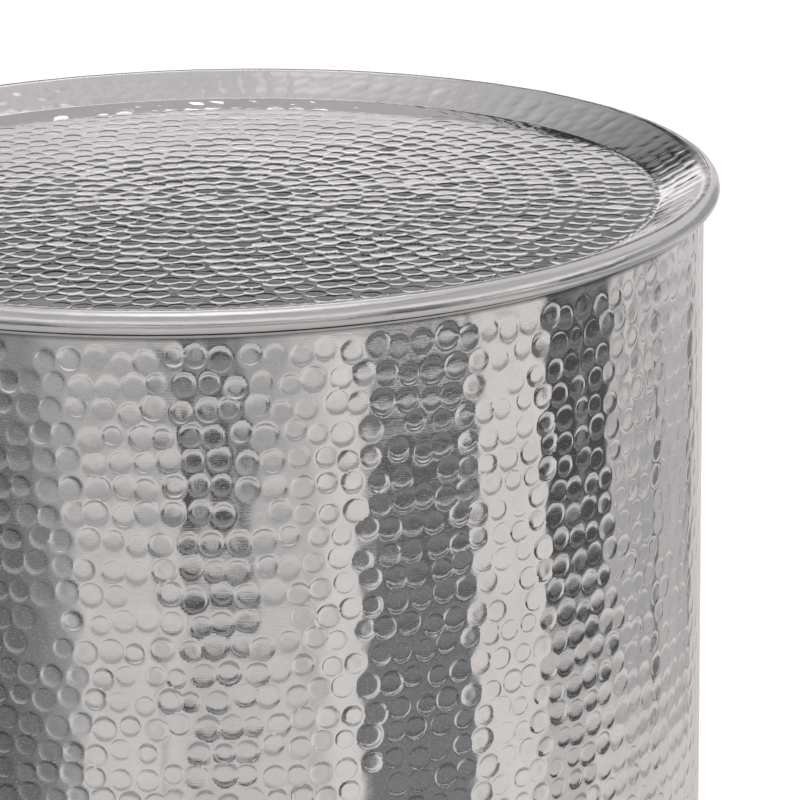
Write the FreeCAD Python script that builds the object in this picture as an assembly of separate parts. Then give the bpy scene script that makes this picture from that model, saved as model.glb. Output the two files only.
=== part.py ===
import FreeCAD, Part
import math
import os

# Drum side table in hammered aluminium sheet: a round storage drum with a lift-off tray top.
#
# Millimetres, +Z up, origin on the drum's axis at floor level.
# The drum is one rolled sheet, and both its edges are curled inward round steel wires.
# The tray is one spun sheet, and its rim is curled outward and down round a steel rod.
# The tray's rim sits on the drum's upper curl. A band under the tray drops inside the
# drum's mouth, so the tray lifts straight off but can't slide sideways.

# ---- drum: sheet cylinder with a wired edge at each end ----
drum_outer_radius = 221.5
drum_height = 487.0
drum_sheet = 1.5
mouth_wire_diameter = 5.0
base_wire_diameter = 5.0
drum_curl_turn = 290.0          # degrees that each edge turns round its wire

# ---- drum: base pan, with its flange spot-welded inside the wall ----
pan_sheet = 1.5
pan_bend_radius = 3.0           # inside the bend from the floor to the flange
pan_flange_height = 18.0
swage_radius = 120.0            # middle of the stiffening bead pressed up in the pan
swage_width = 14.0
swage_height = 3.0

# ---- drum: strip behind the upright joint of the rolled sheet ----
seam_azimuth = 90.0             # degrees from +X, so the joint is at the back
seam_strip_width = 24.0
seam_strip_thickness = 1.2
seam_strip_end_gap = 3.0        # to the mouth curl and to the pan's flange

# ---- feet: rubber bumpers, each held by one machine screw and a lock nut ----
foot_count = 4
foot_first_azimuth = 45.0
foot_inset = 10.5               # from the lower curl to the side of a foot
foot_reveal = 4.0               # daylight between the floor and the drum's lower edge
foot_top_diameter = 34.0
foot_bottom_diameter = 30.0
foot_edge_fillet = 1.5
foot_recess_diameter = 13.0
foot_web = 5.0                  # rubber between the screw's head and the pan

screw_diameter = 5.0
screw_hole_clearance = 0.25     # radial, in the foot and in the pan
screw_end_reveal = 3.0          # past the lock nut
screw_head_diameter = 9.5
screw_head_height = 2.75
screw_head_edge = 0.5           # straight part below the button head's dome
screw_head_flat_diameter = 5.2
screw_socket_flats = 3.0
screw_socket_depth = 1.6
washer_outer_diameter = 15.0
washer_thickness = 1.2
nut_across_flats = 8.0
nut_hexagon_height = 3.7
nut_chamfer_angle = 30.0
nut_collar_height = 1.0
nut_collar_diameter = 7.0

# ---- tray: spun sheet with a flared lip and a wired rim ----
rim_overhang = 7.1              # of the rim past the drum's wall
tray_sheet = 1.2
rim_rod_diameter = 8.0
rim_curl_turn = 300.0
lip_depth = 10.6                # from the crown of the rim down to the tray's floor
lip_angle = 27.7                # slope of the flared lip, in degrees
crease_radius = 2.0             # inside the bend between the floor and the lip

# ---- fit between the tray and the drum ----
seat_gap = 0.3                  # between the tray's rim and the mouth curl
band_gap = 1.0                  # between the locating band and the mouth curl
band_thickness = 1.5
band_engagement = 12.0          # from the mouth curl's centre to the band's lower edge

# ---- drum, worked out: places are (radius, height) pairs ----
drum_inner_radius = drum_outer_radius - drum_sheet
mouth_wire_radius = mouth_wire_diameter / 2
mouth_curl_radius = mouth_wire_radius + drum_sheet
mouth_curl_centre = (drum_outer_radius - mouth_curl_radius,
                     foot_reveal + drum_height - mouth_curl_radius)
base_wire_radius = base_wire_diameter / 2
base_curl_radius = base_wire_radius + drum_sheet
base_curl_centre = (drum_outer_radius - base_curl_radius, foot_reveal + base_curl_radius)

# The pan's outside bend rests on the lower curl, or its flat floor does if the bend is small.
pan_outer_bend = pan_bend_radius + pan_sheet
pan_bend_place = drum_inner_radius - pan_outer_bend
pan_reach = max(base_curl_centre[0] - pan_bend_place, 0)
pan_seat_rise = math.sqrt((pan_outer_bend + base_curl_radius) ** 2 - pan_reach ** 2)
pan_bottom = base_curl_centre[1] + pan_seat_rise - pan_outer_bend
pan_top = pan_bottom + pan_sheet
pan_bend_centre = (pan_bend_place, pan_bottom + pan_outer_bend)
pan_flange_top = pan_bottom + pan_flange_height

# ---- feet, worked out ----
foot_circle_radius = (base_curl_centre[0] - base_curl_radius
                      - foot_inset - foot_top_diameter / 2)
foot_azimuths = [foot_first_azimuth + 360.0 * n / foot_count for n in range(foot_count)]
screw_radius = screw_diameter / 2
screw_hole_radius = screw_radius + screw_hole_clearance
screw_seat = pan_bottom - foot_web
nut_bottom = pan_top + washer_thickness
screw_end = nut_bottom + nut_hexagon_height + nut_collar_height + screw_end_reveal

# ---- tray, worked out ----
rim_rod_radius = rim_rod_diameter / 2
rim_radius = rim_rod_radius + tray_sheet
rim_centre_radius = drum_outer_radius + rim_overhang - rim_radius
seat_reach = rim_radius + mouth_curl_radius + seat_gap
seat_offset = rim_centre_radius - mouth_curl_centre[0]
rim_centre = (rim_centre_radius,
              mouth_curl_centre[1] + math.sqrt(seat_reach ** 2 - seat_offset ** 2))
tray_floor = rim_centre[1] + rim_radius - lip_depth
lip_slope = math.radians(lip_angle)
lip_top = (rim_centre[0] - rim_radius * math.sin(lip_slope),
           rim_centre[1] + rim_radius * math.cos(lip_slope))
lip_corner_radius = lip_top[0] - (lip_top[1] - tray_floor) / math.tan(lip_slope)

origin = FreeCAD.Vector(0, 0, 0)
upward = FreeCAD.Vector(0, 0, 1)


# ---- drawing in the half plane y = 0, where x is the radius ----
def point(place):
    return FreeCAD.Vector(place[0], 0, place[1])


def polar(centre, radius, degrees):
    """The place at an angle round a centre, counted from straight outward."""
    angle = math.radians(degrees)
    return (centre[0] + radius * math.cos(angle), centre[1] + radius * math.sin(angle))


def line(start, end):
    return Part.LineSegment(point(start), point(end)).toShape()


def arc(centre, radius, first, last):
    """Circular edge from one angle to another, in degrees, either way round."""
    start = point(polar(centre, radius, first))
    middle = point(polar(centre, radius, (first + last) / 2))
    end = point(polar(centre, radius, last))
    return Part.Arc(start, middle, end).toShape()


def outline(edges):
    return Part.Face(Part.Wire(edges))


def polygon(places):
    ring = places + places[:1]
    return outline([line(a, b) for a, b in zip(ring, ring[1:])])


def revolved(face, degrees=360):
    return face.revolve(origin, upward, degrees)


def around(shape, azimuth):
    """A copy turned about the table's axis."""
    turned = shape.copy()
    turned.rotate(origin, upward, azimuth)
    return turned


def wire_ring(centre, wire_radius):
    return Part.makeTorus(centre[0], wire_radius, FreeCAD.Vector(0, 0, centre[1]))


# ---- tray ----
def tray_pan():
    """Flat floor, flared lip, and a rim curled outward and down round the rod."""
    setback = crease_radius * math.tan(lip_slope / 2)
    bend_centre = (lip_corner_radius - setback, tray_floor + crease_radius)
    outer_bend = crease_radius + tray_sheet
    bend_end = -90 + lip_angle
    curl_start = 90 + lip_angle
    curl_end = curl_start - rim_curl_turn
    underside = tray_floor - tray_sheet
    return revolved(outline([
        line((0, tray_floor), polar(bend_centre, crease_radius, -90)),
        arc(bend_centre, crease_radius, -90, bend_end),
        line(polar(bend_centre, crease_radius, bend_end), lip_top),
        arc(rim_centre, rim_radius, curl_start, curl_end),
        line(polar(rim_centre, rim_radius, curl_end), polar(rim_centre, rim_rod_radius, curl_end)),
        arc(rim_centre, rim_rod_radius, curl_end, curl_start),
        line(polar(rim_centre, rim_rod_radius, curl_start), polar(bend_centre, outer_bend, bend_end)),
        arc(bend_centre, outer_bend, bend_end, -90),
        line(polar(bend_centre, outer_bend, -90), (0, underside)),
        line((0, underside), (0, tray_floor)),
    ]))


def lip_underside(radius):
    """Height of the lip's lower face at a radius."""
    drop = (lip_top[0] - radius) * math.tan(lip_slope)
    return lip_top[1] - drop - tray_sheet / math.cos(lip_slope)


def tray_locating_band():
    """Hoop welded under the lip, with its upper edge bevelled to the lip's slope."""
    outer = mouth_curl_centre[0] - mouth_curl_radius - band_gap
    inner = outer - band_thickness
    bottom = mouth_curl_centre[1] - band_engagement
    return revolved(polygon([
        (inner, bottom), (outer, bottom), (outer, lip_underside(outer)), (inner, lip_underside(inner)),
    ]))


# ---- drum ----
def drum_shell():
    """Upright wall, with its upper and lower edges curled inward."""
    mouth_end = drum_curl_turn
    base_end = -drum_curl_turn
    return revolved(outline([
        line((drum_outer_radius, base_curl_centre[1]), (drum_outer_radius, mouth_curl_centre[1])),
        arc(mouth_curl_centre, mouth_curl_radius, 0, mouth_end),
        line(polar(mouth_curl_centre, mouth_curl_radius, mouth_end),
             polar(mouth_curl_centre, mouth_wire_radius, mouth_end)),
        arc(mouth_curl_centre, mouth_wire_radius, mouth_end, 0),
        line((drum_inner_radius, mouth_curl_centre[1]), (drum_inner_radius, base_curl_centre[1])),
        arc(base_curl_centre, base_wire_radius, 0, base_end),
        line(polar(base_curl_centre, base_wire_radius, base_end),
             polar(base_curl_centre, base_curl_radius, base_end)),
        arc(base_curl_centre, base_curl_radius, base_end, 0),
    ]))


def base_pan():
    """Floor of the drum: a flanged disc with one pressed bead, drilled for the foot screws."""
    half_width = swage_width / 2
    swage_bend = (half_width ** 2 + swage_height ** 2) / (2 * swage_height)
    half_turn = math.degrees(math.asin(half_width / swage_bend))
    swage_sink = swage_bend - swage_height
    swage_start = swage_radius - half_width
    swage_end = swage_radius + half_width
    flange_inner = drum_inner_radius - pan_sheet
    pan = revolved(outline([
        line((0, pan_bottom), (swage_start, pan_bottom)),
        arc((swage_radius, pan_bottom - swage_sink), swage_bend, 90 + half_turn, 90 - half_turn),
        line((swage_end, pan_bottom), (pan_bend_centre[0], pan_bottom)),
        arc(pan_bend_centre, pan_outer_bend, -90, 0),
        line((drum_inner_radius, pan_bend_centre[1]), (drum_inner_radius, pan_flange_top)),
        line((drum_inner_radius, pan_flange_top), (flange_inner, pan_flange_top)),
        line((flange_inner, pan_flange_top), (flange_inner, pan_bend_centre[1])),
        arc(pan_bend_centre, pan_bend_radius, 0, -90),
        line((pan_bend_centre[0], pan_top), (swage_end, pan_top)),
        arc((swage_radius, pan_top - swage_sink), swage_bend, 90 - half_turn, 90 + half_turn),
        line((swage_start, pan_top), (0, pan_top)),
        line((0, pan_top), (0, pan_bottom)),
    ]))
    drill = Part.makeCylinder(screw_hole_radius, pan_sheet, foot_centre(pan_bottom))
    return pan.cut([around(drill, azimuth) for azimuth in foot_azimuths])


def seam_strip():
    """Curved strip inside the wall, over the sheet's upright joint."""
    low = pan_flange_top + seam_strip_end_gap
    high = mouth_curl_centre[1] - mouth_curl_radius - seam_strip_end_gap
    inner = drum_inner_radius - seam_strip_thickness
    section = polygon([
        (inner, low), (drum_inner_radius, low), (drum_inner_radius, high), (inner, high),
    ])
    spread = math.degrees(seam_strip_width / drum_inner_radius)
    return around(revolved(section, spread), seam_azimuth - spread / 2)


# ---- feet: each piece is drawn about the Z axis, then set on the foot circle ----
def foot_centre(height):
    return FreeCAD.Vector(foot_circle_radius, 0, height)


def on_foot(solid, azimuth):
    placed = solid.copy()
    placed.translate(foot_centre(0))
    return around(placed, azimuth)


def on_every_foot(solid):
    return Part.makeCompound([on_foot(solid, azimuth) for azimuth in foot_azimuths])


def hexagonal_prism(flats, low, height):
    corner_radius = flats / math.sqrt(3)
    corners = [FreeCAD.Vector(*polar((0, 0), corner_radius, 60 * n), low) for n in range(7)]
    return Part.Face(Part.makePolygon(corners)).extrude(upward * height)


def foot_pad():
    """Tapered bumper, recessed from below for the screw's head."""
    bottom = foot_bottom_diameter / 2
    top = foot_top_diameter / 2
    recess = foot_recess_diameter / 2
    pad = revolved(polygon([
        (recess, 0), (bottom, 0), (top, pan_bottom), (screw_hole_radius, pan_bottom),
        (screw_hole_radius, screw_seat), (recess, screw_seat),
    ]))
    rim = [edge for edge in pad.Edges if abs(edge.Length - 2 * math.pi * bottom) < 0.001]
    return pad.makeFillet(foot_edge_fillet, rim)


def foot_screw():
    """Button-head screw, head down in the foot's recess, with a hexagon socket."""
    head = screw_head_diameter / 2
    flat = screw_head_flat_diameter / 2
    head_low = screw_seat - screw_head_height
    dome_rise = screw_head_height - screw_head_edge
    dome_run = head - flat
    dome_radius = (dome_run ** 2 + dome_rise ** 2) / (2 * dome_run)
    dome_centre = (head - dome_radius, head_low + dome_rise)
    dome_turn = math.degrees(math.atan2(dome_rise, dome_radius - dome_run))
    screw = revolved(outline([
        line((0, screw_end), (screw_radius, screw_end)),
        line((screw_radius, screw_end), (screw_radius, screw_seat)),
        line((screw_radius, screw_seat), (head, screw_seat)),
        line((head, screw_seat), (head, dome_centre[1])),
        arc(dome_centre, dome_radius, 0, -dome_turn),
        line((flat, head_low), (0, head_low)),
        line((0, head_low), (0, screw_end)),
    ]))
    return screw.cut(hexagonal_prism(screw_socket_flats, head_low, screw_socket_depth))


def foot_washer():
    outer = washer_outer_diameter / 2
    return revolved(polygon([
        (screw_radius, pan_top), (outer, pan_top), (outer, nut_bottom), (screw_radius, nut_bottom),
    ]))


def foot_nut():
    """Hexagon nut with chamfered corners and the round collar of its locking insert."""
    flat = nut_across_flats / 2
    corner = nut_across_flats / math.sqrt(3)
    chamfer = (corner - flat) * math.tan(math.radians(nut_chamfer_angle))
    hexagon_top = nut_bottom + nut_hexagon_height
    turned = revolved(polygon([
        (0, nut_bottom), (flat, nut_bottom), (corner, nut_bottom + chamfer),
        (corner, hexagon_top - chamfer), (flat, hexagon_top), (0, hexagon_top),
    ]))
    hexagon = hexagonal_prism(nut_across_flats, nut_bottom, nut_hexagon_height).common(turned)
    collar = Part.makeCylinder(nut_collar_diameter / 2, nut_collar_height, upward * hexagon_top)
    bore_length = nut_hexagon_height + nut_collar_height
    bore = Part.makeCylinder(screw_radius, bore_length, upward * nut_bottom)
    return hexagon.fuse(collar).cut(bore)


nodes = {
    "tray_pan": tray_pan(),
    "tray_rim_rod": wire_ring(rim_centre, rim_rod_radius),
    "tray_locating_band": tray_locating_band(),
    "drum_shell": drum_shell(),
    "mouth_wire": wire_ring(mouth_curl_centre, mouth_wire_radius),
    "base_wire": wire_ring(base_curl_centre, base_wire_radius),
    "base_pan": base_pan(),
    "seam_strip": seam_strip(),
    "foot_screws": on_every_foot(foot_screw()),
    "foot_washers": on_every_foot(foot_washer()),
    "foot_nuts": on_every_foot(foot_nut()),
}
for number, azimuth in enumerate(foot_azimuths, 1):
    nodes["foot_pad_%d" % number] = on_foot(foot_pad(), azimuth)

os.makedirs("parts", exist_ok=True)
for name, shape in nodes.items():
    shape.exportStep("parts/%s.step" % name)
    print("%-20s %d solid(s) %12.1f mm3" % (name, len(shape.Solids), shape.Volume))
print("tray floor at %.2f mm, rim's crown at %.2f mm" % (tray_floor, rim_centre[1] + rim_radius))
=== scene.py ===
import bpy
import math
import numpy as np
from mathutils import Matrix, Vector


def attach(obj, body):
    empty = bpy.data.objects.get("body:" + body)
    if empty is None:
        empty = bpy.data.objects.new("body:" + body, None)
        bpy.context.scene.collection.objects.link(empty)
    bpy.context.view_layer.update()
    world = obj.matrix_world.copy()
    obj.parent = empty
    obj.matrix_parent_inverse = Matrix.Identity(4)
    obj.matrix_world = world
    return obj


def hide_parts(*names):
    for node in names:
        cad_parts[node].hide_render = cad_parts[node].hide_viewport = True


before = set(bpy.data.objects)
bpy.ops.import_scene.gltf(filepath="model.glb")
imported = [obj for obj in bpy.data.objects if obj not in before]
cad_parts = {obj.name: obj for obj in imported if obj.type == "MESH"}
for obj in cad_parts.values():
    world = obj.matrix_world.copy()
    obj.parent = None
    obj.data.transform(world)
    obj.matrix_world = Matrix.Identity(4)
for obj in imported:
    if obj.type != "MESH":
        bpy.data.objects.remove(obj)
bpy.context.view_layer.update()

mm = 0.001
fullTurn = 2 * math.pi
degree = 180 / math.pi


# helpers for node trees
def feed(socket, value):
    if isinstance(value, Value):
        value = value.socket
    if isinstance(value, bpy.types.NodeSocket):
        socket.id_data.links.new(value, socket)
    else:
        socket.default_value = value


def put(tree, kind, *values, **settings):
    # a new node, its settings, and what goes into its live sockets in order
    node = tree.nodes.new(kind)
    for name, value in settings.items():
        setattr(node, name, value)
    live = [socket for socket in node.inputs if socket.enabled]
    for socket, value in zip(live, values):
        if value is not None:
            feed(socket, value)
    return node


def out(node, name=None):
    # the named output, or the first live one, as a value to reckon with
    return Value(next(s for s in node.outputs if s.enabled and name in (None, s.name)))


class Value:
    # a socket of a node tree; it gets the signs + - * / ** and % below
    def __init__(self, socket):
        self.socket = socket
        self.tree = socket.id_data

    def math(self, operation, *others):
        return out(put(self.tree, "ShaderNodeMath", self, *others, operation=operation))

    def __neg__(self):
        return self * -1.0

    def __lt__(self, other):
        return self.math("LESS_THAN", other)

    def __gt__(self, other):
        return self.math("GREATER_THAN", other)


def giveSign(sign, operation):
    # once with the value on the sign's left, and once with a plain number there
    def forward(value, other):
        return value.math(operation, other)

    def backward(value, other):
        return out(put(value.tree, "ShaderNodeMath", other, value, operation=operation))

    setattr(Value, "__" + sign + "__", forward)
    setattr(Value, "__r" + sign + "__", backward)


for sign, operation in (("add", "ADD"), ("sub", "SUBTRACT"), ("mul", "MULTIPLY"),
                        ("truediv", "DIVIDE"), ("pow", "POWER"), ("mod", "FLOORED_MODULO")):
    giveSign(sign, operation)


def least(a, b):
    return a.math("MINIMUM", b)


def most(a, b):
    return a.math("MAXIMUM", b)


def size(a):
    return a.math("ABSOLUTE")


def root(a):
    return a.math("SQRT")


def onCircle(angle, reach):
    return angle.math("COSINE") * reach, angle.math("SINE") * reach


def pick(test, yes, no):
    # a number: yes where test is 1, otherwise no
    return no + (yes - no) * test


def combine(tree, x, y, z):
    return out(put(tree, "ShaderNodeCombineXYZ", x, y, z))


def parts(vector):
    return [Value(socket) for socket in put(vector.tree, "ShaderNodeSeparateXYZ", vector).outputs]


def ramp(value, low, high):
    # 0 at low, 1 at high, with soft ends
    return out(put(value.tree, "ShaderNodeMapRange", value, low, high, 0.0, 1.0,
                   interpolation_type="SMOOTHSTEP", clamp=True))


def noiseAt(vector, scale, detail, roughness):
    # soft noise between -1 and 1
    return out(put(vector.tree, "ShaderNodeTexNoise", vector, scale, detail, roughness)) * 2.0 - 1.0


def chance(tree, low, high, key, seed):
    # a random number that belongs to the key
    return out(put(tree, "FunctionNodeRandomValue", low, high, key, seed, data_type="FLOAT"))


def store(tree, geometry, name, value, kind, domain="POINT"):
    return out(put(tree, "GeometryNodeStoreNamedAttribute", geometry, None, name, value,
                   data_type=kind, domain=domain))


def stored(tree, name, kind):
    return out(put(tree, "GeometryNodeInputNamedAttribute", name, data_type=kind))


def sampled(geometry, field, index):
    # what the field is at the point with this number
    node = put(field.tree, "GeometryNodeSampleIndex", data_type="FLOAT_VECTOR", domain="POINT")
    feed(node.inputs[0], geometry)
    feed(node.inputs[1], field)
    feed(node.inputs["Index"], index)
    return out(node)


def newTree(name, inputs):
    # a geometry tree with named inputs and their first values
    tree = bpy.data.node_groups.new(name, "GeometryNodeTree")
    tree.interface.new_socket("Geometry", in_out="INPUT", socket_type="NodeSocketGeometry")
    tree.interface.new_socket("Geometry", in_out="OUTPUT", socket_type="NodeSocketGeometry")
    for label, value in inputs.items():
        kind = "NodeSocketInt" if isinstance(value, int) else "NodeSocketFloat"
        socket = tree.interface.new_socket(label, in_out="INPUT", socket_type=kind)
        socket.default_value = value
    source = tree.nodes.new("NodeGroupInput")
    given = {label: Value(source.outputs[label]) for label in inputs}
    return tree, Value(source.outputs["Geometry"]), given


def closeTree(tree, geometry, material):
    realized = out(put(tree, "GeometryNodeRealizeInstances", geometry))
    painted = put(tree, "GeometryNodeSetMaterial", realized)
    painted.inputs["Material"].default_value = material
    end = tree.nodes.new("NodeGroupOutput")
    tree.links.new(painted.outputs[0], end.inputs["Geometry"])


def newPiece(name, data):
    piece = bpy.data.objects.new(name, data)
    bpy.context.collection.objects.link(piece)
    return piece


def grown(name, places, tree, inputs):
    # runs the tree on a line of (radius, height) places in the plane y = 0, and gives the mesh
    line = bpy.data.meshes.new(name)
    line.from_pydata([(r, 0, z) for r, z in places], [], [])
    start = newPiece(name, line)
    modifier = start.modifiers.new("grow", "NODES")
    modifier.node_group = tree
    for item in tree.interface.items_tree:
        if item.in_out == "INPUT" and item.name in inputs:
            modifier[item.identifier] = inputs[item.name]
    start.update_tag()
    graph = bpy.context.evaluated_depsgraph_get()
    mesh = bpy.data.meshes.new_from_object(start.evaluated_get(graph), depsgraph=graph)
    bpy.data.objects.remove(start)
    return mesh


# Hammer marks: strikes are points in the flat plane of the unrolled sheet.
# A strike's height above the plane is larger where its radius is smaller, so the nearest
# strike in space is the one whose circle the place belongs to.
def largestRadius(mark):
    return mark["radius"] * (1 + mark["radiusSpread"])


def strikePlace(tree, u, v, radius, mark):
    top = largestRadius(mark)
    return combine(tree, u, v, root(top * top - radius * radius))


def nearestStrike(tree, strikes, u, v, mark):
    # the middle, radius, force and lean of the strike that the place belongs to
    here = combine(tree, u, v, 0.0)
    index = out(put(tree, "GeometryNodeSampleNearest", strikes, here, domain="POINT"))
    place = out(tree.nodes.new("GeometryNodeInputPosition"))
    cu, cv, lift = parts(sampled(strikes, place, index))
    blow = parts(sampled(strikes, stored(tree, "blow", "FLOAT_VECTOR"), index))
    top = largestRadius(mark)
    return cu, cv, root(top * top - lift * lift), *blow


def nearestTwo(tree, strikes, u, v, mark):
    # strikes beside each other are of two kinds; the nearest one of each
    odd = stored(tree, "odd", "BOOLEAN")
    split = put(tree, "GeometryNodeSeparateGeometry", strikes, odd, domain="POINT")
    return [nearestStrike(tree, Value(half), u, v, mark) for half in split.outputs]


def struck(strike, u, v, mark):
    # a shallow dish with a steep wall and a rounded shoulder outside it
    cu, cv, radius, force, leanU, leanV = strike
    du = u - cu
    dv = v - cv
    reach = root(du * du + dv * dv) / radius
    inside = reach < 1.0
    lean = 1.0 + (leanU * du + leanV * dv) / radius
    bowl = (1.0 - reach ** mark["steepness"]) * mark["depth"] * lean
    bowl = (bowl + (1.0 - reach * reach) * mark["dish"]) * force
    away = most(reach - 1.0, 0.0) * radius / mark["shoulderReach"]
    shoulder = (-away).math("EXPONENT") * mark["shoulder"] * force
    return -(shoulder + bowl * inside)


def marksHeight(found, u, v, mark):
    # where two marks overlap, the deeper one counts
    return least(*[struck(strike, u, v, mark) for strike in found])


def nearLine(distance, nu, nv, stepU, stepV):
    # true where a line at this distance, with this direction across it, passes within half a step
    return size(distance) < most(size(nu) * stepU, size(nv) * stepV) * 0.5


def toRim(strike, u, v):
    # the nearest place on the strike's rim, how far off it is, and the direction across it
    cu, cv, radius = strike[:3]
    du = u - cu
    dv = v - cv
    distance = most(root(du * du + dv * dv), 1e-6)
    eu = du / distance
    ev = dv / distance
    return cu + eu * radius, cv + ev * radius, radius - distance, eu, ev


def besideMarks(found, u, v, stepU, stepV):
    # places near a rim, or near the straight ridge between two strikes that overlap, move onto it
    def power(strike):
        cu, cv, radius = strike[:3]
        return (u - cu) * (u - cu) + (v - cv) * (v - cv) - radius * radius

    swap = power(found[1]) < power(found[0])
    own = [pick(swap, b, a) for a, b in zip(*found)]
    other = [pick(swap, a, b) for a, b in zip(*found)]
    cu, cv, radius = own[:3]
    ou, ov, otherRadius = other[:3]
    gu = ou - cu
    gv = ov - cv
    gap = root(gu * gu + gv * gv)
    ridgeOff = (power(other) - power(own)) / (gap * 2.0)
    ridgeU = u + gu / gap * ridgeOff
    ridgeV = v + gv / gap * ridgeOff
    ru = ridgeU - cu
    rv = ridgeV - cv
    ridge = nearLine(ridgeOff, gu / gap, gv / gap, stepU, stepV)
    ridge = ridge * ((ru * ru + rv * rv) < radius * radius)
    rimU, rimV, off, eu, ev = toRim(own, u, v)
    rimClear = ((rimU - ou) * (rimU - ou) + (rimV - ov) * (rimV - ov)) > otherRadius * otherRadius
    rim = nearLine(off, eu, ev, stepU, stepV) * rimClear
    newU = pick(ridge, ridgeU, pick(rim, rimU, u))
    newV = pick(ridge, ridgeV, pick(rim, rimV, v))
    return newU, newV, most(ridge, rim)


def hammered(tree, strikes, u, v, stepU, stepV, mark):
    # moves the places near a rim or a ridge onto it, and gives the sheet's height there
    found = nearestTwo(tree, strikes, u, v, mark)
    newU, newV, crease = besideMarks(found, u, v, stepU, stepV)
    return newU, newV, marksHeight(found, newU, newV, mark), crease > 0.5


def storeSlopes(tree, mesh, strikes, mark, swell):
    # each face corner keeps the sheet's own slope just inside that face
    sheet = stored(tree, "sheet", "FLOAT_VECTOR")
    middle = out(put(tree, "GeometryNodeFieldOnDomain", sheet, data_type="FLOAT_VECTOR", domain="FACE"))
    ownU, ownV, _ = parts(sheet)
    faceU, faceV, _ = parts(middle)
    inward = 0.16
    u = ownU + (faceU - ownU) * inward
    v = ownV + (faceV - ownV) * inward
    found = nearestTwo(tree, strikes, u, v, mark)

    def height(atU, atV):
        return marksHeight(found, atU, atV, mark) + swell(atU, atV)

    step = 0.012 * mm
    level = height(u, v)
    slopeU = (height(u + step, v) - level) / step
    slopeV = (height(u, v + step) - level) / step
    slope = combine(tree, slopeU, slopeV, 0.0)
    return store(tree, mesh, "slope", slope, "FLOAT_VECTOR", "CORNER")


def creased(tree, mesh, onCrease):
    # cuts the quads along the creases and makes the creases sharp
    mesh = store(tree, mesh, "crease", onCrease, "BOOLEAN")
    flag = stored(tree, "crease", "BOOLEAN")

    def cornerFlag(number):
        corner = put(tree, "GeometryNodeCornersOfFace")
        feed(corner.inputs["Sort Index"], number)
        vertex = put(tree, "GeometryNodeVertexOfCorner", Value(corner.outputs["Corner Index"]))
        at = put(tree, "GeometryNodeFieldAtIndex", domain="POINT", data_type="BOOLEAN")
        feed(at.inputs["Index"], out(vertex))
        feed(next(s for s in at.inputs if s.enabled and s.name == "Value"), flag)
        return out(at)

    flags = [cornerFlag(number) for number in range(4)]
    for pair, method in ((0, "FIXED"), (1, "FIXED_ALTERNATE")):
        both = flags[pair] * flags[pair + 2]
        mesh = out(put(tree, "GeometryNodeTriangulate", mesh, both > 0.5, quad_method=method))
    mesh = out(put(tree, "GeometryNodeSetShadeSmooth", mesh, None, True, domain="FACE"))
    sharp = put(tree, "GeometryNodeSetMeshNormal", mesh, mode="SHARPNESS")
    feed(sharp.inputs["Edge Sharpness"], flag)
    feed(sharp.inputs["Face Sharpness"], False)
    return out(sharp)


def rowAndColumn(tree, rows):
    # places are counted up each column, then on to the next one
    index = out(tree.nodes.new("GeometryNodeInputIndex"))
    column = ((index + 0.5) / rows).math("FLOOR")
    return column, index - column * rows


def sectionPlace(tree, line, row):
    place = out(tree.nodes.new("GeometryNodeInputPosition"))
    r, _, z = parts(sampled(line, place, row))
    return r, z


def strikePoints(tree, count, place, blow, odd):
    strikes = out(put(tree, "GeometryNodePoints", count, place, 1 * mm))
    strikes = store(tree, strikes, "blow", blow, "FLOAT_VECTOR")
    return store(tree, strikes, "odd", (odd % 2.0) > 0.5, "BOOLEAN")


def strikeRows(tree, given, mark):
    # rows of strikes round the sheet; a few more stand past each end, so the rows join up
    margin = 3
    perRow = given["Marks in a row"]
    rowCount = given["Mark rows"]
    column, row = rowAndColumn(tree, rowCount)
    column = column - margin
    key = (column % perRow) * rowCount + row
    seed = mark["seed"]

    def random(low, high, number):
        return chance(tree, low, high, key, seed + number)

    phase = chance(tree, 0.0, 1.0, row, seed + 50)
    angle = (column + phase) * (fullTurn / perRow)
    # each row wanders up and down on its way round
    wave = (angle * 3.0 + row * 0.31).math("SINE") + (angle * 7.0 - row * 0.53).math("SINE") * 0.5
    u = (column + phase) * given["Mark pitch"] + random(-1.0, 1.0, 1) * mark["strayAlong"]
    v = given["Lowest row"] + row * given["Row pitch"]
    v = v + random(-1.0, 1.0, 2) * mark["strayAcross"] + wave * mark["rowWave"]
    radius = random(1 - mark["radiusSpread"], 1 + mark["radiusSpread"], 3) * mark["radius"]
    force = random(0.0, 1.0, 4) ** 2.0 * (mark["heaviest"] - mark["lightest"]) + mark["lightest"]
    blow = combine(tree, force, random(-1.0, 1.0, 5) * mark["lean"],
                   random(-1.0, 1.0, 6) * mark["lean"])
    strikes = strikePoints(tree, (perRow + 2.0 * margin) * rowCount,
                           strikePlace(tree, u, v, radius, mark), blow, column + row)
    lost = random(0.0, 1.0, 7) < mark["missing"]
    return out(put(tree, "GeometryNodeDeleteGeometry", strikes, lost, domain="POINT"))


# plain meshes from what the trees give
def readMesh(mesh):
    # corners, faces and the normal of every corner, as arrays
    def read(items, name, each, kind):
        values = np.empty(len(items) * each, kind)
        items.foreach_get(name, values)
        return values

    return (read(mesh.vertices, "co", 3, np.float32).reshape(-1, 3),
            read(mesh.loops, "vertex_index", 1, np.int32),
            read(mesh.polygons, "loop_total", 1, np.int32),
            read(mesh.corner_normals, "vector", 3, np.float32).reshape(-1, 3))


def readAttribute(mesh, name, kind):
    values = np.empty(len(mesh.vertices), kind)
    mesh.attributes[name].data.foreach_get("value", values)
    return values


def unit(vectors):
    return vectors / np.linalg.norm(vectors, axis=-1, keepdims=True)


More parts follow.
